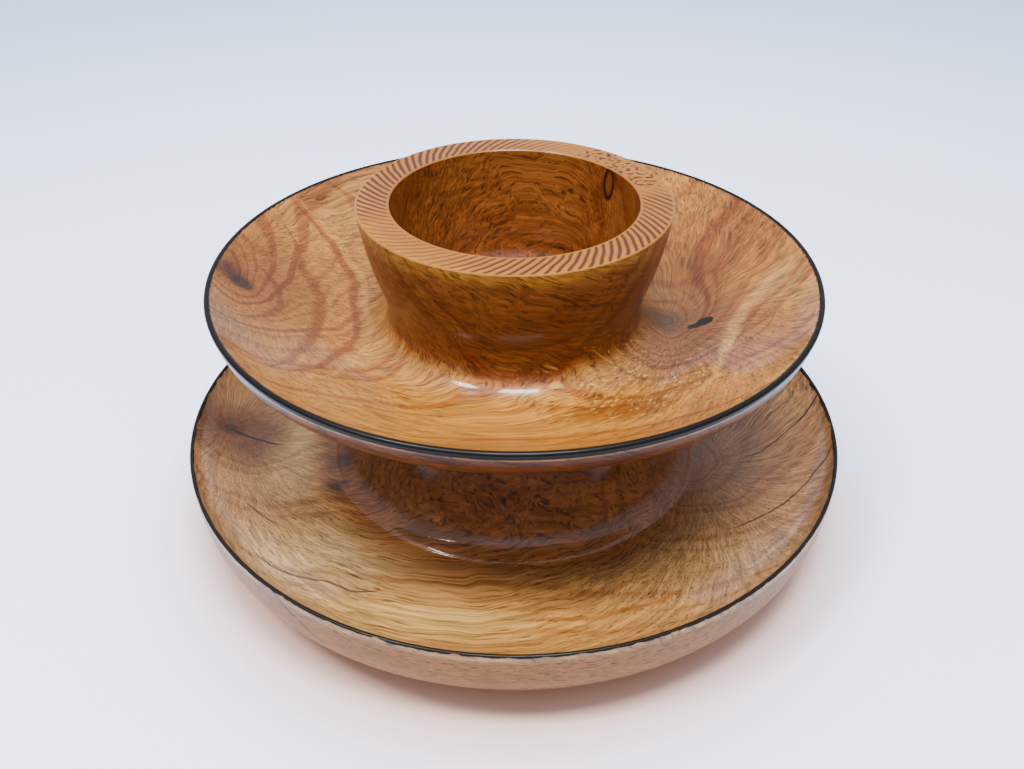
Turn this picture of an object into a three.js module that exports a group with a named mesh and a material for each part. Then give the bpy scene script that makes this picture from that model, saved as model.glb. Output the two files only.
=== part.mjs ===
// Two-tier chip and dip server, turned in wood on a lathe.
//
// Two solid pieces, each turned from one block and round about the Z axis:
//   lower_bowl   the wide chip bowl, with its foot and a flared pedestal left standing in the
//                middle; the pedestal ends in a collar with a shallow round socket
//   upper_plate  the dished chip plate with the flared dip cup in its middle; a round spigot
//                under the plate drops into the collar's socket and lifts straight out
//
// Millimetres, +Z up. The origin is on the table, at the centre of the foot.

import * as THREE from 'three';

// Around the lathe
const FLATS_AROUND = 48;      // flat strips that stand for one full turn
const CURVE_STEPS = 2;        // steps between the points of a profile curve
const SEAT_GAP = 0.3;         // between the collar and the plate that rests on it

// Overall sizes
const BOWL_RADIUS = 152.5;    // widest, at the bowl's edge
const BOWL_EDGE_Z = 47.0;
const PLATE_RADIUS = 133.0;   // widest, at the plate's edge
const PLATE_EDGE_Z = 125.2;
const CUP_RIM_RADIUS = 67.4;  // outside of the cup's flat rim
const CUP_MOUTH_RADIUS = 53.4;  // inside of the flat rim
const CUP_RIM_Z = 155.8;

// Bowl
const FOOT_RADIUS = 98.0;
const FOOT_RING_WIDTH = 14.0;
const FOOT_RECESS = 3.0;      // hollow turned under the foot, so that the ring alone stands
const BOWL_EDGE_THICK = 1.8;
const BOWL_FLOOR_RADIUS = 92.0;
const BOWL_FLOOR_Z = 26.3;    // lowest line of the trough around the pedestal

// Pedestal and its collar
const ROOT_RADIUS = 75.8;     // where the pedestal rises out of its cove
const ROOT_Z = 38.0;
const WAIST_RADIUS = 61.5;
const WAIST_Z = 74.0;
const COLLAR_RADIUS = 62.5;
const SEAT_Z = 87.5;          // underside of the plate, where it rests on the collar
const SPIGOT_RADIUS = 46.0;
const SPIGOT_LENGTH = 8.0;
const SOCKET_RADIUS = SPIGOT_RADIUS + 0.6;
const SOCKET_DEPTH = SPIGOT_LENGTH + 1.0;

// Plate and cup
const PLATE_BEAD = 1.3;       // radius of the rounded edge
const PLATE_FLOOR_RADIUS = 72.0;
const PLATE_FLOOR_Z = 95.2;   // lowest line of the dish around the cup
const CUP_WAIST_RADIUS = 56.3;
const CUP_WAIST_Z = 105.5;
const CUP_FLOOR_Z = 97.5;     // inside, at the centre
const RIM_ROUNDING = 0.4;

function point(radius, z) {
  return new THREE.Vector2(radius, z);
}

// A half-section that starts and ends on the axis becomes one closed turned solid.
function turned(name, halfSection, wood) {
  const geometry = new THREE.LatheGeometry(halfSection.getPoints(CURVE_STEPS), FLATS_AROUND);
  geometry.rotateX(Math.PI / 2);
  const mesh = new THREE.Mesh(geometry, wood);
  mesh.name = name;
  return mesh;
}

// Foot ring with the hollow under it, from the axis out to where the wall begins.
function addFoot(outline) {
  outline.moveTo(0, FOOT_RECESS);
  outline.lineTo(FOOT_RADIUS - FOOT_RING_WIDTH - 2, FOOT_RECESS);
  outline.lineTo(FOOT_RADIUS - FOOT_RING_WIDTH, 0);
  outline.lineTo(FOOT_RADIUS, 0);
}

// Outside of the bowl: full at the bottom, almost upright at the edge.
function addBowlOutside(outline) {
  outline.splineThru([
    point(FOOT_RADIUS + 5, 2.8),
    point(BOWL_RADIUS - 27, 8.0),
    point(BOWL_RADIUS - 8.2, 18.5),
    point(BOWL_RADIUS - 2.2, 28.0),
    point(BOWL_RADIUS - 0.3, 40.0),
    point(BOWL_RADIUS, BOWL_EDGE_Z - BOWL_EDGE_THICK / 2),
  ]);
}

// Rounded edge of the bowl, then the inside down to the lowest line of the trough.
function addBowlInside(outline) {
  const edge = BOWL_EDGE_THICK / 2;
  outline.absarc(BOWL_RADIUS - edge, BOWL_EDGE_Z - edge, edge, 0, Math.PI, false);
  outline.splineThru([
    point(BOWL_RADIUS - 5.5, BOWL_EDGE_Z - 6.2),
    point(BOWL_RADIUS - 14.5, BOWL_EDGE_Z - 12.4),
    point(BOWL_RADIUS - 32, BOWL_FLOOR_Z + 2.2),
    point(BOWL_FLOOR_RADIUS, BOWL_FLOOR_Z),
  ]);
}

// Pedestal: a cove turns up out of the trough into a steep cone, which ends in the collar.
function addPedestal(outline) {
  const seat = SEAT_Z - SEAT_GAP;
  outline.splineThru([
    point(ROOT_RADIUS + 9.7, BOWL_FLOOR_Z + 1.6),
    point(ROOT_RADIUS + 3.4, BOWL_FLOOR_Z + 5.8),
    point(ROOT_RADIUS, ROOT_Z),
    point(ROOT_RADIUS - 7.8, ROOT_Z + 18),
    point(WAIST_RADIUS, WAIST_Z),
    point(COLLAR_RADIUS, seat - 3),
  ]);
  outline.quadraticCurveTo(COLLAR_RADIUS + 0.3, seat, COLLAR_RADIUS - 1.5, seat);
}

// Blind round socket in the top of the collar.
function addSocket(outline) {
  const seat = SEAT_Z - SEAT_GAP;
  outline.lineTo(SOCKET_RADIUS, seat);
  outline.lineTo(SOCKET_RADIUS, seat - SOCKET_DEPTH);
  outline.lineTo(0, seat - SOCKET_DEPTH);
}

function lowerBowl(wood) {
  const outline = new THREE.Path();
  addFoot(outline);
  addBowlOutside(outline);
  addBowlInside(outline);
  addPedestal(outline);
  addSocket(outline);
  return turned('lower_bowl', outline, wood);
}

// Spigot and the flat seat around it, which bears on the collar.
function addSpigot(outline) {
  outline.moveTo(0, SEAT_Z - SPIGOT_LENGTH);
  outline.lineTo(SPIGOT_RADIUS - 1, SEAT_Z - SPIGOT_LENGTH);
  outline.lineTo(SPIGOT_RADIUS, SEAT_Z - SPIGOT_LENGTH + 1);
  outline.lineTo(SPIGOT_RADIUS, SEAT_Z);
  outline.lineTo(COLLAR_RADIUS + 2, SEAT_Z);
}

// Underside of the plate, a shallow convex dish that turns upright below the edge.
function addPlateUnderside(outline) {
  outline.splineThru([
    point(PLATE_RADIUS - 52, SEAT_Z + 3.2),
    point(PLATE_RADIUS - 30, SEAT_Z + 10.5),
    point(PLATE_RADIUS - 12, SEAT_Z + 19.5),
    point(PLATE_RADIUS - 3.2, PLATE_EDGE_Z - 10.2),
    point(PLATE_RADIUS - 0.5, PLATE_EDGE_Z - 2.2 * PLATE_BEAD),
  ]);
}

// Rounded edge of the plate, then the dish down to its lowest line beside the cup.
function addPlateInside(outline) {
  outline.absarc(PLATE_RADIUS - PLATE_BEAD, PLATE_EDGE_Z - PLATE_BEAD, PLATE_BEAD, -0.6, 2.4, false);
  outline.splineThru([
    point(PLATE_RADIUS - 13, PLATE_EDGE_Z - 8.5),
    point(PLATE_RADIUS - 33, PLATE_EDGE_Z - 19),
    point(PLATE_RADIUS - 50, PLATE_FLOOR_Z + 2.7),
    point(PLATE_FLOOR_RADIUS, PLATE_FLOOR_Z),
  ]);
}

// Outside of the cup: a tight cove at its root, a waist, and a wall that flares to the rim.
function addCupOutside(outline) {
  outline.splineThru([
    point(CUP_WAIST_RADIUS + 9.4, PLATE_FLOOR_Z + 1.1),
    point(CUP_WAIST_RADIUS + 3.0, PLATE_FLOOR_Z + 4.6),
    point(CUP_WAIST_RADIUS, CUP_WAIST_Z),
    point(CUP_WAIST_RADIUS + 1.4, CUP_WAIST_Z + 9.5),
    point(CUP_RIM_RADIUS - 5.2, CUP_RIM_Z - 26.5),
    point(CUP_RIM_RADIUS - 2.1, CUP_RIM_Z - 13),
    point(CUP_RIM_RADIUS - 0.1, CUP_RIM_Z - RIM_ROUNDING),
  ]);
}

// Flat rim with both edges eased, then the inside of the cup down to its round bottom.
function addCupInside(outline) {
  outline.lineTo(CUP_RIM_RADIUS - RIM_ROUNDING, CUP_RIM_Z);
  outline.lineTo(CUP_MOUTH_RADIUS, CUP_RIM_Z);
  outline.lineTo(CUP_MOUTH_RADIUS - RIM_ROUNDING, CUP_RIM_Z - RIM_ROUNDING);
  outline.splineThru([
    point(CUP_MOUTH_RADIUS - 1.6, CUP_RIM_Z - 18),
    point(CUP_MOUTH_RADIUS - 4.0, CUP_RIM_Z - 36),
    point(CUP_MOUTH_RADIUS - 7.0, CUP_FLOOR_Z + 9.5),
    point(CUP_MOUTH_RADIUS - 15, CUP_FLOOR_Z + 2.4),
    point(CUP_MOUTH_RADIUS - 29, CUP_FLOOR_Z + 0.4),
    point(0, CUP_FLOOR_Z),
  ]);
}

function upperPlate(wood) {
  const outline = new THREE.Path();
  addSpigot(outline);
  addPlateUnderside(outline);
  addPlateInside(outline);
  addCupOutside(outline);
  addCupInside(outline);
  return turned('upper_plate', outline, wood);
}

const paleWood = new THREE.MeshStandardMaterial({ color: 0xb98a5a, roughness: 0.25, metalness: 0 });
const amberWood = new THREE.MeshStandardMaterial({ color: 0xb8793f, roughness: 0.25, metalness: 0 });

const server = new THREE.Group();
server.add(lowerBowl(paleWood));
server.add(upperPlate(amberWood));

export default server;
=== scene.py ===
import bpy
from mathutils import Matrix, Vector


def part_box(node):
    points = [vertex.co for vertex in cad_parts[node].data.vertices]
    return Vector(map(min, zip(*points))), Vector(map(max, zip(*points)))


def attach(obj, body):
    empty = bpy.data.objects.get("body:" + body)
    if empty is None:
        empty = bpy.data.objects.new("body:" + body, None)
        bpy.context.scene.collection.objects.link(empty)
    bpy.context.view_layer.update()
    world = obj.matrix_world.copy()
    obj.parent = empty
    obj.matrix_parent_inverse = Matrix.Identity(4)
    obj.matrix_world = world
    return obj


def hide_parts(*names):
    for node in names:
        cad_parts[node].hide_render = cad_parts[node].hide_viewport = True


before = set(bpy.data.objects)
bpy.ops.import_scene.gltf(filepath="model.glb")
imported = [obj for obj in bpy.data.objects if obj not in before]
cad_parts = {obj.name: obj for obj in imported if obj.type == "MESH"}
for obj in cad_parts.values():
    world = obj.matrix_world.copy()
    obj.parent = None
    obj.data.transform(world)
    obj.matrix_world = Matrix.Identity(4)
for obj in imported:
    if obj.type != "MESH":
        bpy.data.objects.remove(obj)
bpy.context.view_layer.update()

import math

import bmesh
import bpy
from mathutils import Euler, Matrix, Vector, noise

# Lengths are in metres. The server stands on the table at the origin and Z is its turning axis.


# ---- Table and studio --------------------------------------------------------------------------
# The server stands on seamless pale paper that runs up behind it, lit by two softboxes overhead,
# a weak one in front and soft light from all around. None of it is part of the object.

def linear(hex_colour, alpha=1.0):
    """An sRGB hex colour as the linear values that a shader wants."""
    values = [int(hex_colour[i:i + 2], 16) / 255 for i in (1, 3, 5)]
    return [v / 12.92 if v <= 0.04045 else ((v + 0.055) / 1.055) ** 2.4 for v in values] + [alpha]


def add(tree, kind, inputs=None, out=0, **settings):
    """Adds one node with its settings, constants and links, and gives back one output socket."""
    node = tree.nodes.new("ShaderNode" + kind)
    for name, value in settings.items():
        setattr(node, name, value)
    for key, value in (inputs or {}).items():
        if isinstance(value, bpy.types.NodeSocket):
            tree.links.new(value, node.inputs[key])
        else:
            node.inputs[key].default_value = value
    return node.outputs[out] if node.outputs else node


def new_material(name):
    """An empty node material and its tree."""
    material = bpy.data.materials.new(name)
    material.use_nodes = True
    material.node_tree.nodes.clear()
    return material, material.node_tree


# Seamless paper, uncoated: it spreads all light evenly and never shines. Its colour holds painted
# shade: a little bluer and greyer away from the lit middle, and a warm painted shadow under the
# bowl, reddened as light off the wood would redden it.
LIT_MIDDLE = (0.05, 0.1, 0)
LIT_EDGE, DUSK_EDGE = 0.3, 1.1
WARM_EDGE, COOL_EDGE = 0.13, 0.2
paper, tree = new_material("seamless_paper_matt")
place = add(tree, "TexCoord", out="Object")
# Painted shade: the paper greys and blues with distance from the lit middle.
away = add(tree, "VectorMath", {0: place, 1: LIT_MIDDLE}, out="Value", operation="DISTANCE")
dusk = add(tree, "MapRange", {"Value": away, "From Min": LIT_EDGE, "From Max": DUSK_EDGE},
           interpolation_type="SMOOTHSTEP")
shade = add(tree, "Mix", {"Factor": dusk, 6: linear("#d6e4fa"), 7: linear("#b2c6e4")}, out=2,
            data_type="RGBA")
# Painted shadow: warm and reddish close under the bowl.
away = add(tree, "VectorMath", {0: place}, out="Value", operation="LENGTH")
warm_painted_shadow = add(tree, "MapRange", {"Value": away, "From Min": WARM_EDGE, "From Max": COOL_EDGE,
                              "To Min": 1.0, "To Max": 0.0}, interpolation_type="SMOOTHSTEP")
shade = add(tree, "Mix", {"Factor": warm_painted_shadow, 6: shade, 7: linear("#c79c84")}, out=2,
            data_type="RGBA")
shader = add(tree, "BsdfPrincipled", {"Base Color": shade, "Roughness": 0.9})
add(tree, "OutputMaterial", {"Surface": shader})

PAPER_WIDTH = 4.0
PAPER_FRONT = -1.2
PAPER_BEND = 1.2        # where the paper starts to curve up, behind the server
PAPER_RADIUS = 0.4
PAPER_TOP = 0.6
BEND_STEPS = 16

sweep = bmesh.new()
start = sweep.verts.new((-PAPER_WIDTH / 2, PAPER_FRONT, 0))
last = sweep.verts.new((-PAPER_WIDTH / 2, PAPER_BEND, 0))
edges = [sweep.edges.new((start, last))]
for step in range(1, BEND_STEPS + 1):
    angle = math.radians(90 * step / BEND_STEPS)
    y = PAPER_BEND + PAPER_RADIUS * math.sin(angle)
    z = PAPER_RADIUS * (1 - math.cos(angle))
    here = sweep.verts.new((-PAPER_WIDTH / 2, y, z))
    edges.append(sweep.edges.new((last, here)))
    last = here
top = sweep.verts.new((-PAPER_WIDTH / 2, PAPER_BEND + PAPER_RADIUS, PAPER_TOP))
edges.append(sweep.edges.new((last, top)))
wide = bmesh.ops.extrude_edge_only(sweep, edges=edges)
far_side = [v for v in wide["geom"] if isinstance(v, bmesh.types.BMVert)]
bmesh.ops.translate(sweep, verts=far_side, vec=(PAPER_WIDTH, 0, 0))
bmesh.ops.recalc_face_normals(sweep, faces=sweep.faces)
mesh = bpy.data.meshes.new("seamless_paper")
sweep.to_mesh(mesh)
sweep.free()
mesh.shade_smooth()
mesh.materials.append(paper)
floor = bpy.data.objects.new("seamless_paper", mesh)
bpy.context.scene.collection.objects.link(floor)


def panel(name, place, aim, size, watts, colour):
    """A rectangular softbox at a place, turned to an aim point."""
    light = bpy.data.lights.new(name, "AREA")
    light.shape = "RECTANGLE"
    light.size, light.size_y = size
    light.energy = watts
    light.color = linear(colour)[:3]
    lamp = bpy.data.objects.new(name, light)
    lamp.location = place
    lamp.rotation_euler = (Vector(aim) - Vector(place)).to_track_quat("-Z", "Y").to_euler()
    bpy.context.scene.collection.objects.link(lamp)
    return lamp


panel("overhead_left", place=(-0.64, -0.42, 1.4), aim=(0, 0, 0), size=(0.27, 0.34), watts=30,
      colour="#ffffff")
panel("overhead_right", place=(0.07, -0.42, 1.45), aim=(0, 0, 0), size=(0.48, 0.34), watts=45,
      colour="#ffffff")
panel("front_fill", place=(0, -1.9, 1.6), aim=(0, 0, 0.05), size=(1.6, 1.0), watts=3.5,
      colour="#e9e4ff")

# Soft light from all around, strong from the ceiling and weak from the walls.
HORIZON = 0.1           # sine of the height up to which the walls reach
WALL_GLOW = 0.22
CEILING_GLOW = 2.8

world = bpy.data.worlds.new("studio_air")
bpy.context.scene.world = world
world.use_nodes = True
tree = world.node_tree
sky = tree.nodes["Background"]
sky.inputs["Color"].default_value = linear("#e4ebf8")
upward = add(tree, "SeparateXYZ", {0: add(tree, "TexCoord", out="Generated")}, out="Z")
upward = add(tree, "MapRange",
             {"Value": upward, "From Min": HORIZON, "To Min": WALL_GLOW, "To Max": CEILING_GLOW})
tree.links.new(upward, sky.inputs["Strength"])

CAMERA_PLACE = (0, -0.3834, 0.3317)
CAMERA_AIM = (-0.0009, 0, 0.0591)
CAMERA_ROLL = 0.17
CAMERA_LENS = 34.47

camera = bpy.data.cameras.new("camera")
camera.lens = CAMERA_LENS
camera.sensor_width = 36
camera.clip_start = 0.01
eye = bpy.data.objects.new("camera", camera)
eye.location = CAMERA_PLACE
look = (Vector(CAMERA_AIM) - Vector(CAMERA_PLACE)).to_track_quat("-Z", "Y")
eye.rotation_euler = (look @ Euler((0, 0, math.radians(CAMERA_ROLL))).to_quaternion()).to_euler()
bpy.context.scene.collection.objects.link(eye)
bpy.context.scene.camera = eye


# ---- Lower bowl --------------------------------------------------------------------------------
# The chip bowl with its foot and conical pedestal, turned from one block of knotty hardwood. Its
# thin edge is burnt black with a wire, and the whole is finished in gloss lacquer.

MM = 0.001
WEDGES = 8              # a turning is spun in this many equal wedges that are then joined
WELD = 1e-6             # points closer than this are one
REAL_CORNER = 35        # degrees between faces, past which an edge stays crisp


def curve_through(points, steps):
    """Points on a smooth curve through the given ones (Catmull-Rom), without the first."""
    ends = [points[0]] + list(points) + [points[-1]]
    smooth = []
    for a, b, c, d in zip(ends, ends[1:], ends[2:], ends[3:]):
        for step in range(1, steps + 1):
            t = step / steps
            smooth.append(tuple(
                0.5 * (2 * q + (r - p) * t + (2 * p - 5 * q + 4 * r - s) * t * t
                       + (3 * q - p - 3 * r + s) * t ** 3)
                for p, q, r, s in zip(a, b, c, d)))
    return smooth


def arc(centre, radius, start, end, steps):
    """Points on a round stretch, from one angle to another in degrees."""
    turns = [math.radians(start + (end - start) * step / steps) for step in range(steps + 1)]
    return [(centre[0] + radius * math.cos(a), centre[1] + radius * math.sin(a)) for a in turns]


def turn(half_section, steps):
    """Spins a half-section of (radius, height) points round Z into a closed turned mesh."""
    blank = bmesh.new()
    verts = [blank.verts.new((r, 0, z)) for r, z in half_section]
    edges = [blank.edges.new(pair) for pair in zip(verts, verts[1:])]
    bmesh.ops.spin(blank, geom=verts + edges, axis=(0, 0, 1), cent=(0, 0, 0),
                   angle=math.tau / WEDGES, steps=steps // WEDGES)
    first = blank.verts[:] + blank.edges[:] + blank.faces[:]
    for wedge in range(1, WEDGES):
        copy = bmesh.ops.duplicate(blank, geom=first)["geom"]
        bmesh.ops.rotate(blank, verts=[v for v in copy if isinstance(v, bmesh.types.BMVert)],
                         cent=(0, 0, 0), matrix=Matrix.Rotation(math.tau * wedge / WEDGES, 3, "Z"))
    bmesh.ops.remove_doubles(blank, verts=blank.verts, dist=WELD)
    bmesh.ops.recalc_face_normals(blank, faces=blank.faces)
    return blank


def finish_turning(name, blank, material):
    """Makes the turned mesh an object, smooth but for its real corners."""
    corner = math.radians(REAL_CORNER)
    for edge in blank.edges:
        edge.smooth = len(edge.link_faces) != 2 or edge.calc_face_angle() < corner
    for face in blank.faces:
        face.smooth = True
    mesh = bpy.data.meshes.new(name)
    blank.to_mesh(mesh)
    blank.free()
    mesh.materials.append(material)
    piece = bpy.data.objects.new(name, mesh)
    bpy.context.scene.collection.objects.link(piece)
    return piece


bowl_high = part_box("lower_bowl")[1]
BOWL_RADIUS = bowl_high.x
COLLAR_TOP = bowl_high.z
BOWL_EDGE_Z = 47.0 * MM
BOWL_EDGE_THICK = 1.8 * MM
FOOT_RADIUS = 98.0 * MM
FOOT_RING_WIDTH = 14.0 * MM
FOOT_RECESS = 3.0 * MM
TROUGH_RADIUS = 92.0 * MM
TROUGH_Z = 26.3 * MM
ROOT_RADIUS = 75.8 * MM
ROOT_Z = 38.0 * MM
WAIST_RADIUS = 61.5 * MM
WAIST_Z = 74.0 * MM
COLLAR_RADIUS = 62.5 * MM
SOCKET_RADIUS = 46.6 * MM
SOCKET_DEPTH = 9.0 * MM
COLLAR_ROUNDING = 1.5 * MM
EASE = 0.5 * MM         # every turned corner is eased by about this much with sandpaper
BOWL_STEPS = 512        # faces round the bowl

edge = BOWL_EDGE_THICK / 2
foot = [(0, FOOT_RECESS), (40 * MM, FOOT_RECESS),
        (FOOT_RADIUS - FOOT_RING_WIDTH - 2 * MM, FOOT_RECESS),
        (FOOT_RADIUS - FOOT_RING_WIDTH, 0.4 * MM), (FOOT_RADIUS - FOOT_RING_WIDTH + EASE, 0),
        (FOOT_RADIUS - 0.6 * MM, 0), (FOOT_RADIUS, EASE)]
outside = curve_through(
    [foot[-1], (FOOT_RADIUS + 5 * MM, 2.8 * MM), (BOWL_RADIUS - 27 * MM, 8 * MM),
     (BOWL_RADIUS - 8.2 * MM, 18.5 * MM), (BOWL_RADIUS - 2.2 * MM, 28 * MM),
     (BOWL_RADIUS - 0.3 * MM, 40 * MM), (BOWL_RADIUS, BOWL_EDGE_Z - edge)], 5)
rounded_edge = arc((BOWL_RADIUS - edge, BOWL_EDGE_Z - edge), edge, 12, 168, 7)
inside = curve_through(
    [(BOWL_RADIUS - 2 * edge, BOWL_EDGE_Z - edge), (BOWL_RADIUS - 5.5 * MM, BOWL_EDGE_Z - 6.2 * MM),
     (BOWL_RADIUS - 14.5 * MM, BOWL_EDGE_Z - 12.4 * MM),
     (BOWL_RADIUS - 32 * MM, TROUGH_Z + 2.2 * MM),
     (TROUGH_RADIUS, TROUGH_Z), (ROOT_RADIUS + 9.7 * MM, TROUGH_Z + 1.6 * MM),
     (ROOT_RADIUS + 3.4 * MM, TROUGH_Z + 5.8 * MM), (ROOT_RADIUS, ROOT_Z),
     (ROOT_RADIUS - 7.8 * MM, ROOT_Z + 18 * MM), (WAIST_RADIUS, WAIST_Z),
     (COLLAR_RADIUS, COLLAR_TOP - 3 * MM)], 7)
collar = arc((COLLAR_RADIUS - COLLAR_ROUNDING, COLLAR_TOP - COLLAR_ROUNDING), COLLAR_ROUNDING,
             0, 90, 4)
socket = [(SOCKET_RADIUS + EASE, COLLAR_TOP), (SOCKET_RADIUS, COLLAR_TOP - EASE),
          (SOCKET_RADIUS, COLLAR_TOP - SOCKET_DEPTH), (20 * MM, COLLAR_TOP - SOCKET_DEPTH),
          (0, COLLAR_TOP - SOCKET_DEPTH)]
bowl_blank = turn(foot + outside + rounded_edge + inside + collar + socket, BOWL_STEPS)


def nearness(tree, point, centre, reach, hard=0.0):
    """1 at a centre in millimetres, falling softly to 0 at its reach along each axis. The fall
    starts at a share of the reach, hard."""
    stretch = [1 / r for r in reach]
    offset = [-c / r for c, r in zip(centre, reach)]
    steps = add(tree, "VectorMath", {0: point, 1: stretch, 2: offset}, operation="MULTIPLY_ADD")
    away = add(tree, "VectorMath", {0: steps}, out="Value", operation="LENGTH")
    return add(tree, "MapRange", {"Value": away, "From Min": hard, "From Max": 1.0, "To Min": 1.0,
                                  "To Max": 0.0}, interpolation_type="SMOOTHSTEP")


def between(tree, value, low, high, at_low=0.0, at_high=1.0):
    """Eases from one result to another as a value goes from low to high."""
    return add(tree, "MapRange", {"Value": value, "From Min": low, "From Max": high,
                                  "To Min": at_low, "To Max": at_high},
               interpolation_type="SMOOTHSTEP")


def blend(tree, factor, under, over, how="MIX"):
    """Lays one colour over another by a factor."""
    return add(tree, "Mix", {"Factor": factor, 6: under, 7: over}, out=2, data_type="RGBA",
               blend_type=how)


def curved_line(tree, flat, ends, width):
    """A mask for the arc through three (x, y) points in millimetres, of a given width."""
    (ax, ay), (bx, by), (cx, cy) = ends
    twist = 2 * (ax * (by - cy) + bx * (cy - ay) + cx * (ay - by))
    a, b, c = ax * ax + ay * ay, bx * bx + by * by, cx * cx + cy * cy
    centre = Vector(((a * (by - cy) + b * (cy - ay) + c * (ay - by)) / twist,
                     (a * (cx - bx) + b * (ax - cx) + c * (bx - ax)) / twist, 0))
    radius = (centre - Vector((bx, by, 0))).length
    reach = max(math.dist(ends[0], ends[1]), math.dist(ends[1], ends[2]))
    off = add(tree, "VectorMath", {0: flat, 1: centre}, out="Value", operation="DISTANCE")
    off = add(tree, "Math", {0: off, 1: radius}, operation="SUBTRACT")
    off = add(tree, "Math", {0: off}, operation="ABSOLUTE")
    along = add(tree, "VectorMath", {0: flat, 1: (bx, by, 0)}, out="Value", operation="DISTANCE")
    taper = between(tree, along, reach * 0.55, reach, width, 0.15 * width)
    ratio = add(tree, "Math", {0: off, 1: taper}, operation="DIVIDE")
    line = between(tree, ratio, 0.25, 1.0, 1.0, 0.0)
    window = between(tree, along, reach * 0.92, reach * 1.04, 1.0, 0.0)
    return add(tree, "Math", {0: line, 1: window}, operation="MULTIPLY")


def split(tree, point, start, finish, width):
    """A mask for a narrow split along a straight line between two points in millimetres."""
    start, finish = Vector(start), Vector(finish)
    middle, half = (start + finish) / 2, (finish - start).length / 2
    arm = add(tree, "VectorMath", {0: point, 1: middle}, operation="SUBTRACT")
    off = add(tree, "VectorMath", {0: arm, 1: (finish - start).normalized()},
              operation="CROSS_PRODUCT")
    off = add(tree, "VectorMath", {0: off}, out="Value", operation="LENGTH")
    along = add(tree, "VectorMath", {0: arm}, out="Value", operation="LENGTH")
    line = between(tree, off, 0.2 * width, width, 1.0, 0.0)
    window = between(tree, along, 0.8 * half, half, 1.0, 0.0)
    return add(tree, "Math", {0: line, 1: window}, operation="MULTIPLY")


class Grain:
    """The inside of one block of knotty wood, in millimetres, for its material to be drawn with."""

    DRIFT, DRIFT_LENGTH = 9, 24         # how far growth wanders, and over what length
    RIPPLE, RIPPLE_LENGTH = 1.2, 4
    CLIMB = 0.35                        # how fast fibres change with height

    def __init__(self, tree, knots, lean, pivot):
        self.tree = tree
        place = add(tree, "TexCoord", out="Object")
        self.mm = add(tree, "VectorMath", {0: place, "Scale": 1000}, operation="SCALE")
        self.height = add(tree, "SeparateXYZ", {0: self.mm}, out="Z")
        level = add(tree, "VectorMath", {0: self.mm, 1: (1, 1, 0)}, operation="MULTIPLY")
        self.radius = add(tree, "VectorMath", {0: level}, out="Value", operation="LENGTH")

        # Growth never keeps to a drawn line, so everything in the block wanders a little.
        grown = self.mm
        for size, length, detail in ((self.DRIFT, self.DRIFT_LENGTH, 1.0),
                                     (self.RIPPLE, self.RIPPLE_LENGTH, 3.0)):
            wander = add(tree, "TexNoise", {"Vector": self.mm, "Scale": 1 / length,
                                            "Detail": detail}, out="Color")
            grown = add(tree, "VectorMath", {0: wander, 1: [size] * 3, 2: grown},
                        operation="MULTIPLY_ADD")
        middle = (self.DRIFT + self.RIPPLE) / 2
        self.grown = add(tree, "VectorMath", {0: grown, 1: [middle] * 3}, operation="SUBTRACT")
        self.flat = add(tree, "VectorMath", {0: self.grown, 1: (1, 1, 0)}, operation="MULTIPLY")

        # The trunk lay at a slant in the block, so upright walls cut the same figure as floors do.
        leaned = add(tree, "VectorRotate", {"Vector": self.grown, "Center": pivot,
                                            "Angle": math.radians(lean)},
                     rotation_type="X_AXIS")
        leaned = add(tree, "VectorMath", {0: leaned, 1: (1, 1, 0)}, operation="MULTIPLY")
        slant = Matrix.Rotation(math.radians(lean), 3, "X")
        arms = []
        self.rings = add(tree, "SeparateXYZ", {0: leaned}, out="Y")
        for centre, squash, pull, reach in knots:
            seat = slant @ (Vector(centre) - Vector(pivot)) + Vector(pivot)
            arm = add(tree, "VectorMath", {0: leaned, 1: (seat.x, seat.y, 0)}, operation="SUBTRACT")
            arms.append(arm)
            # Yearly rings run from side to side, but close round each knot.
            oval = add(tree, "VectorMath", {0: arm, 1: squash}, operation="MULTIPLY")
            away = add(tree, "VectorMath", {0: oval}, out="Value", operation="LENGTH")
            fall = add(tree, "Math", {0: away, 1: -1 / reach}, operation="MULTIPLY")
            fall = add(tree, "Math", {0: fall}, operation="EXPONENT")
            self.rings = add(tree, "Math", {0: fall, 1: pull, 2: self.rings},
                             operation="MULTIPLY_ADD")

        # Fibres leave one knot and sweep over to the other, like the lines between two poles.
        facing = add(tree, "VectorMath", {0: arms[0], 1: arms[1]}, out="Value",
                     operation="DOT_PRODUCT")
        across = add(tree, "VectorMath", {0: arms[0], 1: arms[1]}, operation="CROSS_PRODUCT")
        facing = add(tree, "CombineXYZ", {"X": facing})
        sweep = add(tree, "VectorMath", {0: facing, 1: across}, operation="ADD")
        self.sweep = add(tree, "VectorMath", {0: sweep}, operation="NORMALIZE")

    def fibres(self, fineness, length, detail=2.0):
        """Noise drawn out along the fibres: so many to a radian at a knot, and so long in mm."""
        spread = add(self.tree, "VectorMath", {0: self.sweep, "Scale": fineness},
                     operation="SCALE")
        rise = add(self.tree, "Math", {0: self.height, 1: self.CLIMB}, operation="MULTIPLY")
        along = add(self.tree, "Math", {0: self.rings, 1: 1 / length, 2: rise},
                    operation="MULTIPLY_ADD")
        along = add(self.tree, "CombineXYZ", {"Y": along})
        point = add(self.tree, "VectorMath", {0: spread, 1: along}, operation="ADD")
        return add(self.tree, "TexNoise", {"Vector": point, "Scale": 1.0, "Detail": detail,
                                           "Roughness": 0.6})


RING_WIDTH = 9          # mm from one soft band of latewood to the next


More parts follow.
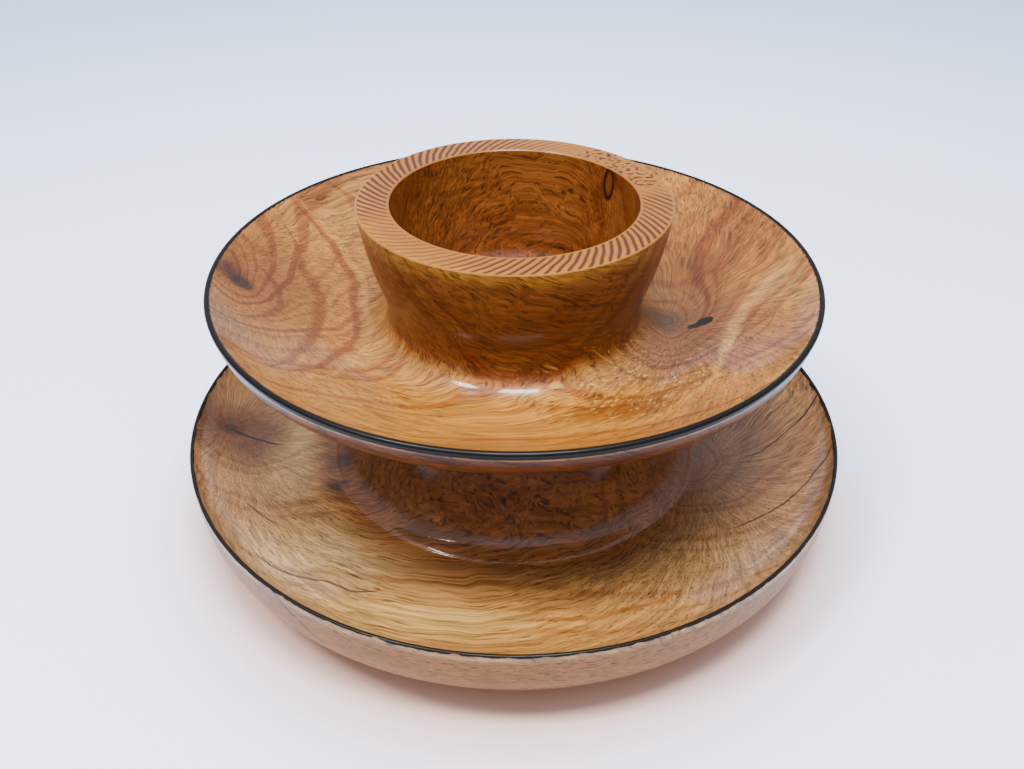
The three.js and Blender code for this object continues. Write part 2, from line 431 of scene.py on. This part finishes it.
def knotty_wood(name, grain_of, tone, patches, lines, ring_tone, ring_depth):
    """Wood with its knots, rings, fibres and pores, but no finish yet. Gives the material, tree,
    grain, colour and fine fibres."""
    material, tree = new_material(name)
    grain = Grain(tree, *grain_of)

    # Broad zones of heartwood, sapwood and stain.
    colour = linear(tone)
    for centre, reach, hard, strength, tint in patches:
        near = nearness(tree, grain.grown, centre, reach, hard)
        near = add(tree, "Math", {0: near, 1: strength}, operation="MULTIPLY")
        colour = blend(tree, near, colour, linear(tint))

    # Latewood of the yearly rings: soft uneven bands, with a fine line here and there.
    band = add(tree, "TexNoise", {"W": grain.rings, "Scale": 1 / RING_WIDTH, "Detail": 2.0},
               noise_dimensions="1D")
    dark = between(tree, band, 0.45, 0.68, 0.0, ring_depth)
    colour = blend(tree, dark, colour, linear(ring_tone), "MULTIPLY")

    # Drawn figure: stained bands, growth lines and cracks that have their own place, and on the
    # bowl one band of painted shade.
    for ends, width, strength, tint in lines:
        line = curved_line(tree, grain.flat, ends, width)
        line = add(tree, "Math", {0: line, 1: strength}, operation="MULTIPLY")
        colour = blend(tree, line, colour, linear(tint))

    # Fibres in broad, fine and hair-thin streaks, and open pores as short dark dashes. Real pores
    # are a tenth of a millimetre wide and are drawn as coarse as it takes to see them.
    broad = grain.fibres(11, 26)
    fine = grain.fibres(56, 11, 3.0)
    pores = grain.fibres(110, 2.6, 1.0)
    hair = grain.fibres(190, 5.0)
    light = between(tree, broad, 0.3, 0.7, 0.84, 1.1)
    for streak in (between(tree, fine, 0.32, 0.68, 0.62, 1.22),
                   between(tree, pores, 0.57, 0.67, 1.0, 0.42),
                   between(tree, hair, 0.34, 0.66, 0.84, 1.12)):
        light = add(tree, "Math", {0: light, 1: streak}, operation="MULTIPLY")
    light = add(tree, "CombineColor", {"Red": light, "Green": light, "Blue": light})
    colour = blend(tree, 1.0, colour, light, "MULTIPLY")
    return material, tree, grain, colour, fine


FULL_COAT, THIN_COAT = 0.32, 0.04
FIBRE_RELIEF = 0.3 * MM


def lacquered(tree, colour, wetting, relief, thin):
    """Finishes wood with a clear gloss coat, which wets and deepens it and fills its fibres. Where
    thin is 1 the coat was wiped on and shines less."""
    colour = blend(tree, 1.0, colour, linear(wetting), "MULTIPLY")
    bump = add(tree, "Bump", {"Height": relief, "Strength": 0.15, "Distance": FIBRE_RELIEF},
               out="Normal")
    shader = add(tree, "BsdfPrincipled",
                 {"Base Color": colour, "Roughness": 0.35, "IOR": 1.5,
                  "Specular IOR Level": 0.1, "Normal": bump,
                  "Coat Weight": between(tree, thin, 0, 1, FULL_COAT, THIN_COAT),
                  "Coat Roughness": 0.06, "Coat IOR": 1.5, "Coat Normal": bump})
    add(tree, "OutputMaterial", {"Surface": shader})


# Places are (x, y, z) in millimetres, reaches how far a zone fades out along each axis. A knot is
# its place, squash, pull on the rings and reach. A patch is its place, reach, hard share, strength
# and stain. A line is its three points, width, strength and colour.
TALL = 900
BOWL_KNOTS = [((-137, -4, 36), (1, 1, 0), 80, 28), ((83, -22, 27), (1, 1, 0), 130, 33)]
BOWL_PATCHES = [
    ((0, -128, 30), (110, 52, TALL), 0.1, 0.9, "#ab7c44"),       # pale front of the trough
    ((-84, -86, 30), (44, 34, TALL), 0.1, 0.9, "#bfa27c"),       # greyish, front left
    ((-40, -122, 34), (66, 20, TALL), 0.2, 0.7, "#c9a76c"),      # yellowish, front
    ((-106, -12, 30), (20, 46, TALL), 0.2, 0.9, "#b4946e"),      # mottled, beside the knot
    ((116, -22, 30), (50, 62, TALL), 0.2, 0.9, "#9b7156"),       # purple-brown heart, right
    ((140, -58, 38), (26, 40, TALL), 0.1, 0.8, "#9a7250"),
    ((102, -82, 30), (30, 16, TALL), 0.1, 0.7, "#a78668"),
    ((-122, 52, 36), (60, 50, TALL), 0.1, 0.7, "#8b5c3c"),
    ((-134, -5, 36), (31, 34, TALL), 0.35, 0.9, "#674433"),      # knot, left
    ((-137, -4, 36), (11, 12, TALL), 0.0, 0.9, "#3f2820"),
    ((0, 146, 36), (130, 30, TALL), 0.2, 0.7, "#855a3a"),         # back
    ((0, 0, 50), (108, 108, 200), 0.78, 0.85, "#804a26"),         # pedestal, cut into the heart
    ((-83, -20, 28), (12, 9, 30), 0.2, 0.85, "#43302c"),
    ((-84, -37, 28), (10, 8, 30), 0.2, 0.85, "#43302c"),
]
BOWL_LINES = [
    (((109, -17), (138, 0), (152, 13)), 0.9, 0.85, "#2b1812"),        # cracks
    (((105, -63), (126, -50), (151, -22)), 0.9, 0.85, "#2b1812"),
    (((-121, -55), (-112, -60), (-103, -67)), 0.8, 0.8, "#3a2018"),
    (((-111, -87), (-83, -102), (-59, -103)), 1.0, 0.8, "#3a2018"),
    (((-139, -5), (-126, -7), (-113, -8)), 1.1, 0.9, "#261712"),
    (((-66, -125), (-31, -131), (-4, -127)), 0.9, 0.7, "#7a4c26"),    # growth lines
    (((9, -119), (38, -116), (74, -101)), 2.0, 0.7, "#82501f"),
    (((50, -126), (88, -104), (118, -74)), 2.4, 0.35, "#7a5030"),
    # Painted shade: a dark band round the trough's front, along the edge of the plate's shadow.
    (((-30, -101), (14, -106), (60, -92)), 3.0, 0.4, "#6e4526"),
    (((96, -96), (112, -84), (126, -68)), 1.6, 0.4, "#d2b494"),
]

# Pale knotty hardwood, turned, sanded and lacquered to a gloss: the eye sees sharp reflections over
# a figure that sweeps round the knots, with growth lines, dry cracks and small open pores.
wood = knotty_wood("knotty_hardwood_gloss_lacquer_bowl", (BOWL_KNOTS, 24, (0, 0, 30)),
                   "#a17a56", BOWL_PATCHES, BOWL_LINES, "#a5785c", 0.4)
bowl_wood, tree, grain, colour, fine = wood

# The outside was cut nearer to the bark and is paler sapwood. A slanting line in the section, by
# radius less so much of the height, tells the outside of the wall from its inside.
WALL_SLANT = 1.25
INSIDE_UP_TO, OUTSIDE_FROM = 96.5, 99.5     # mm
SAPWOOD = 0.82
inset = add(tree, "Math", {0: grain.height, 1: -WALL_SLANT, 2: grain.radius},
            operation="MULTIPLY_ADD")
outer = between(tree, inset, INSIDE_UP_TO, OUTSIDE_FROM, 0.0, SAPWOOD)
colour = blend(tree, outer, colour, linear("#8a5a2e"))

# End grain shows on the upright wall as short level dashes.
DASH_LENGTH, DASH_HEIGHT = 4, 0.6       # mm
level = add(tree, "VectorMath", {0: grain.mm, 1: (1 / DASH_LENGTH, 1 / DASH_LENGTH,
                                                  1 / DASH_HEIGHT)}, operation="MULTIPLY")
dashes = add(tree, "TexNoise", {"Vector": level, "Scale": 1.0, "Detail": 2.0})
dashes = between(tree, dashes, 0.53, 0.62, 0.0, 0.9)
dashes = add(tree, "Math", {0: dashes, 1: outer}, operation="MULTIPLY")
colour = blend(tree, dashes, colour, linear("#3f2413"))

# A brown smear on the front of the wall, and a dry crack that runs down from the edge.
smear = nearness(tree, grain.grown, (-9, -150, 28), (13, 12, 9), 0.1)
smear = add(tree, "Math", {0: smear, 1: 0.8}, operation="MULTIPLY")
colour = blend(tree, smear, colour, linear("#7d4c28"))
CRACK_WIDTH = 0.9       # mm
for start, finish in (((-93.9, -120.2, 47), (-83.8, -127.1, 37)),
                      ((-83.8, -127.1, 38), (-73.0, -131.7, 29))):
    crack = split(tree, grain.mm, start, finish, CRACK_WIDTH)
    colour = blend(tree, crack, colour, linear("#241510"))

# Burnt edge: an uneven black line, frayed by up to so many mm over so many mm. The wood is black
# where height and fraying come above a level, but only close to the edge.
FRAY, FRAY_LENGTH = 3.0, 6
BURN_LEVEL = BOWL_EDGE_Z / MM + 0.6
BURN_RADIUS = BOWL_RADIUS / MM - 4
fray = add(tree, "TexNoise", {"Vector": grain.mm, "Scale": 1 / FRAY_LENGTH, "Detail": 4.0})
burn = add(tree, "Math", {0: fray, 1: FRAY, 2: grain.height}, operation="MULTIPLY_ADD")
burn = between(tree, burn, BURN_LEVEL, BURN_LEVEL + 0.2)
near_edge = between(tree, grain.radius, BURN_RADIUS, BURN_RADIUS + 1)
burn = add(tree, "Math", {0: burn, 1: near_edge}, operation="MULTIPLY")
colour = blend(tree, burn, colour, linear("#17110f"))

# The coat is thin on the outside of the wall and over the burn.
thin = add(tree, "Math", {0: outer, 1: burn}, operation="MAXIMUM")
lacquered(tree, colour, "#ddd3b6", fine, thin)

bowl = finish_turning("turned_bowl", bowl_blank, bowl_wood)
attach(bowl, "lower_bowl")
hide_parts("lower_bowl")


# ---- Upper plate -------------------------------------------------------------------------------
# The plate and its dip cup, turned from one block of the same wood. The plate's round edge is burnt
# black, and the cup's flat rim is chattered by the tool into slanting grooves.

plate_low, plate_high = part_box("upper_plate")
PLATE_RADIUS = plate_high.x
PLATE_EDGE_Z = 125.2 * MM
CUP_RIM_Z = plate_high.z
CUP_RIM_RADIUS = 67.4 * MM
CUP_MOUTH_RADIUS = 53.4 * MM
SEAT_Z = 87.5 * MM
SPIGOT_RADIUS = 46.0 * MM
SPIGOT_LENGTH = SEAT_Z - plate_low.z
PLATE_BEAD = 1.3 * MM
PLATE_FLOOR_RADIUS = 72.0 * MM
PLATE_FLOOR_Z = 95.2 * MM
CUP_WAIST_RADIUS = 56.3 * MM
CUP_WAIST_Z = 105.5 * MM
CUP_FLOOR_Z = 97.5 * MM
RIM_ROUNDING = 0.4 * MM
PLATE_STEPS = 576       # faces round the plate, enough to cut the rim's grooves into

spigot = [(0, SEAT_Z - SPIGOT_LENGTH), (20 * MM, SEAT_Z - SPIGOT_LENGTH),
          (SPIGOT_RADIUS - 1 * MM, SEAT_Z - SPIGOT_LENGTH),
          (SPIGOT_RADIUS, SEAT_Z - SPIGOT_LENGTH + 1 * MM), (SPIGOT_RADIUS, SEAT_Z),
          (COLLAR_RADIUS + 2 * MM, SEAT_Z)]
underside = curve_through(
    [spigot[-1], (PLATE_RADIUS - 52 * MM, SEAT_Z + 3.2 * MM),
     (PLATE_RADIUS - 30 * MM, SEAT_Z + 10.5 * MM), (PLATE_RADIUS - 12 * MM, SEAT_Z + 19.5 * MM),
     (PLATE_RADIUS - 3.2 * MM, PLATE_EDGE_Z - 10.2 * MM),
     (PLATE_RADIUS - 0.5 * MM, PLATE_EDGE_Z - 2.2 * PLATE_BEAD)], 5)
bead = arc((PLATE_RADIUS - PLATE_BEAD, PLATE_EDGE_Z - PLATE_BEAD), PLATE_BEAD, -34, 137, 9)
dish = curve_through(
    [bead[-1], (PLATE_RADIUS - 13 * MM, PLATE_EDGE_Z - 8.5 * MM),
     (PLATE_RADIUS - 33 * MM, PLATE_EDGE_Z - 19 * MM),
     (PLATE_RADIUS - 50 * MM, PLATE_FLOOR_Z + 2.7 * MM), (PLATE_FLOOR_RADIUS, PLATE_FLOOR_Z),
     (CUP_WAIST_RADIUS + 9.4 * MM, PLATE_FLOOR_Z + 1.1 * MM),
     (CUP_WAIST_RADIUS + 3 * MM, PLATE_FLOOR_Z + 4.6 * MM), (CUP_WAIST_RADIUS, CUP_WAIST_Z),
     (CUP_WAIST_RADIUS + 1.4 * MM, CUP_WAIST_Z + 9.5 * MM),
     (CUP_RIM_RADIUS - 5.2 * MM, CUP_RIM_Z - 26.5 * MM),
     (CUP_RIM_RADIUS - 2.1 * MM, CUP_RIM_Z - 13 * MM),
     (CUP_RIM_RADIUS - 0.1 * MM, CUP_RIM_Z - RIM_ROUNDING)], 6)
RIM_STEPS = 18
rim_in, rim_out = CUP_MOUTH_RADIUS, CUP_RIM_RADIUS - RIM_ROUNDING
flat_rim = [(rim_out - (rim_out - rim_in) * step / RIM_STEPS, CUP_RIM_Z)
            for step in range(RIM_STEPS + 1)]
cup = curve_through(
    [(CUP_MOUTH_RADIUS - RIM_ROUNDING, CUP_RIM_Z - RIM_ROUNDING),
     (CUP_MOUTH_RADIUS - 1.6 * MM, CUP_RIM_Z - 18 * MM),
     (CUP_MOUTH_RADIUS - 4.0 * MM, CUP_RIM_Z - 36 * MM),
     (CUP_MOUTH_RADIUS - 7.0 * MM, CUP_FLOOR_Z + 9.5 * MM),
     (CUP_MOUTH_RADIUS - 15 * MM, CUP_FLOOR_Z + 2.4 * MM),
     (CUP_MOUTH_RADIUS - 29 * MM, CUP_FLOOR_Z + 0.4 * MM), (0, CUP_FLOOR_Z)], 6)
cup = [(CUP_MOUTH_RADIUS - RIM_ROUNDING, CUP_RIM_Z - RIM_ROUNDING)] + cup
plate_blank = turn(spigot + underside + bead + dish + flat_rim + cup, PLATE_STEPS)

# The tool chattered as it faced the rim and left grooves at a slant, deeper on some sides.
GROOVES = 92            # round the whole rim
GROOVE_DEPTH = 0.3 * MM
BITE = [(0, 0.8), (8, 0.4), (60, 0.35), (84, 0.6), (110, 1.0), (182, 1.0), (202, 0.5), (243, 0.5),
        (262, 0.8), (332, 1.0), (346, 0.7), (360, 0.8)]           # degrees round, strength
PITTED = (6, 62)        # degrees round where the grain tore out instead of grooving
PITTED_FADE = 9         # degrees
GROOVE_SHARPNESS = 1.4
SMOOTH_BORDER = 0.9 * MM        # the grooves die out this near to either edge of the rim


def bite(degrees):
    """How hard the tool bit at an angle round the rim."""
    for (before, low), (after, high) in zip(BITE, BITE[1:]):
        if before <= degrees <= after:
            return low + (high - low) * (degrees - before) / (after - before)
    return 0


def limited(value):
    """A value held between 0 and 1."""
    return min(1, max(0, value))


def chatter(x, y):
    """The depth of the tool marks at a place on the rim, from 0 to 1."""
    spot = Vector((x, y, 0))
    inward = CUP_RIM_RADIUS - spot.length
    turned = math.atan2(y, x)
    degrees = math.degrees(turned) % 360

    # Slanting grooves, whose spacing wanders slowly and quivers a little.
    wander = 1.1 * noise.noise(spot * 45) + 0.9 * noise.noise(spot * 160)
    phase = GROOVES * (turned - inward / CUP_RIM_RADIUS) + wander
    groove = (0.5 + 0.5 * math.sin(phase)) ** GROOVE_SHARPNESS * bite(degrees)

    # Small ragged pits, two millimetres apart and less.
    ragged = limited(noise.noise(spot * 520) * 1.6 + 0.5 * noise.noise(spot * 900) + 0.15)
    torn = (limited((degrees - PITTED[0]) / PITTED_FADE)
            * limited((PITTED[1] - degrees) / PITTED_FADE))
    depth = groove * (1 - 0.8 * torn) + ragged * torn
    border = min(inward - RIM_ROUNDING, CUP_RIM_RADIUS - CUP_MOUTH_RADIUS - inward)
    return depth * limited(border / SMOOTH_BORDER)


marks = plate_blank.verts.layers.float.new("tool_marks")
for vert in plate_blank.verts:
    if vert.co.z > CUP_RIM_Z - WELD:
        vert[marks] = chatter(vert.co.x, vert.co.y)
        vert.co.z -= GROOVE_DEPTH * vert[marks]

PLATE_KNOTS = [((-127, 0, 121), (1, 0.72, 0), 200, 45), ((69, 0, 96), (1, 1, 0), 110, 30)]
PLATE_PATCHES = [
    ((-8, -86, 100), (92, 52, TALL), 0.2, 0.9, "#d09a50"),       # golden front
    ((20, -105, 110), (66, 13, TALL), 0.2, 0.7, "#b87430"),      # ochre towards the front edge
    ((0, -124, 117), (84, 15, TALL), 0.3, 0.8, "#a0692a"),
    ((42, -74, 100), (36, 19, TALL), 0.2, 0.85, "#935420"),       # orange-brown smear
    ((-62, -76, 100), (26, 20, TALL), 0.1, 0.7, "#c69d70"),
    ((-62, -20, 98), (22, 44, TALL), 0.2, 0.8, "#c4935c"),
    ((-77, -6, 100), (15, 44, TALL), 0.2, 0.6, "#c0814c"),       # between the left knot's bands
    ((-112, 6, 115), (36, 54, TALL), 0.2, 0.85, "#8c5d3a"),
    ((-118, -50, 118), (24, 32, TALL), 0.2, 0.8, "#987448"),
    ((80, -16, 97), (46, 58, TALL), 0.3, 0.9, "#91644a"),        # purple-brown round right knot
    ((122, -12, 118), (20, 34, TALL), 0.2, 0.8, "#bd9468"),
    ((108, -48, 108), (30, 54, TALL), 0.2, 0.7, "#a87844"),
    ((100, 46, 108), (56, 48, TALL), 0.2, 0.85, "#935f39"),
    ((-88, 76, 108), (60, 36, TALL), 0.1, 0.7, "#b98a58"),
    ((0, 0, 132), (74, 74, 52), 0.93, 0.86, "#8b5233"),            # cup, cut into the heart
    ((-126, 0, 121), (13, 14, TALL), 0.1, 0.85, "#4a352c"),      # left knot
    ((-121, -4, 119), (8, 6, TALL), 0.3, 0.8, "#2c2426"),
    ((68, 0, 96), (16, 17, TALL), 0.2, 0.8, "#584640"),          # right knot
]
PLATE_LINES = [
    (((-115, 52), (-89, -6), (-92, -54)), 3.4, 0.7, "#7e4822"),      # rings round the left knot
    (((-113, 72), (-73, 6), (-86, -60)), 3.2, 0.75, "#844820"),
    (((-110, 74), (-67, 6), (-82, -66)), 2.6, 0.4, "#d8ac74"),
    (((-118, 16), (-103, -8), (-113, -30)), 2.6, 0.6, "#643a22"),
    (((-98, 88), (-66, 60), (-62, 22)), 3.5, 0.6, "#8a4f24"),
    (((48, -24), (71, -29), (93, -14)), 1.8, 0.45, "#5f4034"),        # rings round the right knot
    (((46, -33), (75, -38), (104, -16)), 2.0, 0.45, "#63443a"),
    (((44, -43), (77, -47), (112, -18)), 1.8, 0.5, "#654433"),
    (((44, -60), (80, -58), (98, -36)), 2.2, 0.35, "#6f4c38"),
    (((126, 12), (100, -12), (90, -32)), 4.2, 0.55, "#d3ad80"),       # light growth band, right
    (((92, -29), (76, -66), (36, -98)), 2.4, 0.5, "#d8a860"),
    (((98, -30), (82, -68), (44, -100)), 2.6, 0.5, "#a9702f"),
    (((120, -18), (102, -60), (62, -100)), 3.0, 0.35, "#a2682f"),
    (((126, -34), (108, -70), (74, -102)), 2.0, 0.3, "#dbb078"),
    (((62, 40), (90, 28), (118, 40)), 4.0, 0.55, "#82492a"),
    (((58, 22), (78, 16), (104, 20)), 1.6, 0.4, "#7a4a34"),
    (((84, 64), (93, 68), (103, 72)), 0.9, 0.6, "#8a4320"),
    (((-66, -74), (-20, -106), (40, -112)), 3.0, 0.4, "#a9651f"),
]

# The same hardwood, richer and more golden: gloss over rings that run round both knots, with silky
# flecks where the fibres surface, and a darker cup that was cut into the heart.
wood = knotty_wood("knotty_hardwood_gloss_lacquer_plate", (PLATE_KNOTS, 24, (0, 0, 108)),
                   "#b98850", PLATE_PATCHES, PLATE_LINES, "#b3784a", 0.6)
plate_wood, tree, grain, colour, fine = wood

# Silky light flecks, where the fibres come up out of the surface.
flecks = between(tree, grain.fibres(34, 4.0, 1.0), 0.6, 0.7, 0.0, 0.6)
silky = nearness(tree, grain.mm, (46, -66, 98), (66, 60, 26), 0.4)
flecks = add(tree, "Math", {0: flecks, 1: silky}, operation="MULTIPLY")
colour = blend(tree, flecks, colour, linear("#e6bd74"))

# Knot hole filled with black resin, in two lobes.
lobes = add(tree, "Math", {0: nearness(tree, grain.mm, (85.8, -6.6, 97), (3.9, 3.3, TALL), 0.88),
                           1: nearness(tree, grain.mm, (81.6, -7.6, 97), (4.0, 2.2, TALL), 0.8)},
            operation="MAXIMUM")
colour = blend(tree, lobes, colour, linear("#0e0f12"))

# A pin knot in the cup's wall, ringed with dark bark.
PIN_KNOT = (42.2, 30.6, 149)
bark = nearness(tree, grain.mm, PIN_KNOT, (4.2, 4.2, 9.5), 0.75)
core = nearness(tree, grain.mm, PIN_KNOT, (2.8, 2.8, 7.0), 0.5)
colour = blend(tree, bark, colour, linear("#2e1a0e"))
colour = blend(tree, core, colour, linear("#7d4a1e"))

# Tool marks on the rim: pale lands, and grooves darkened with painted shade, the deeper the darker.
MARKS_DOWN_TO = CUP_RIM_Z / MM - 0.6
on_rim = between(tree, grain.height, MARKS_DOWN_TO, MARKS_DOWN_TO + 0.2)
worn = blend(tree, 0.75, colour, linear("#ae7c38"))
colour = blend(tree, on_rim, colour, worn)
depth = add(tree, "Attribute", out="Fac", attribute_name="tool_marks")
# Painted shade in the grooves of the tool marks.
groove_shade = between(tree, depth, 0.15, 0.65, 0.0, 0.92)
colour = blend(tree, groove_shade, colour, linear("#4c2618"))

# Underneath, the plate is darkened with painted shade, for the shade under its overhang. A slanting
# line in the section, by height less so much of the radius, tells the underside from the dish.
PLATE_SLANT = 0.5
UNDERSIDE_UP_TO, DISH_FROM = 54.6, 55.9     # mm
UNDERSIDE_SHADE = 0.9
inset = add(tree, "Math", {0: grain.radius, 1: -PLATE_SLANT, 2: grain.height},
            operation="MULTIPLY_ADD")
under = between(tree, inset, UNDERSIDE_UP_TO, DISH_FROM, UNDERSIDE_SHADE, 0.0)
# Painted shade over the whole underside.
colour = blend(tree, under, colour, linear("#a06a40"), "MULTIPLY")

# Burnt edge: a black band over the whole bead, finely ragged towards the dish.
BEAD_FRAY, BEAD_FRAY_LENGTH = 0.9, 1.6
BEAD_BURN_RADIUS = PLATE_RADIUS / MM - 2.3
BEAD_BURN_LEVEL = PLATE_EDGE_Z / MM - 3.2
fray = add(tree, "TexNoise", {"Vector": grain.mm, "Scale": 1 / BEAD_FRAY_LENGTH, "Detail": 2.0})
burn = add(tree, "Math", {0: fray, 1: BEAD_FRAY, 2: grain.radius}, operation="MULTIPLY_ADD")
burn = between(tree, burn, BEAD_BURN_RADIUS, BEAD_BURN_RADIUS + 0.5)
upper = between(tree, grain.height, BEAD_BURN_LEVEL, BEAD_BURN_LEVEL + 0.4)
burn = add(tree, "Math", {0: burn, 1: upper}, operation="MULTIPLY")
colour = blend(tree, burn, colour, linear("#120e12"))

# The coat is thin underneath and over the burn, and fairly thin on the rough rim.
thin = add(tree, "Math", {0: under, 1: burn}, operation="MAXIMUM")
satin = add(tree, "Math", {0: on_rim, 1: 0.75}, operation="MULTIPLY")
thin = add(tree, "Math", {0: thin, 1: satin}, operation="MAXIMUM")
lacquered(tree, colour, "#bcab80", fine, thin)

plate = finish_turning("turned_plate_and_cup", plate_blank, plate_wood)
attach(plate, "upper_plate")
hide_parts("upper_plate")
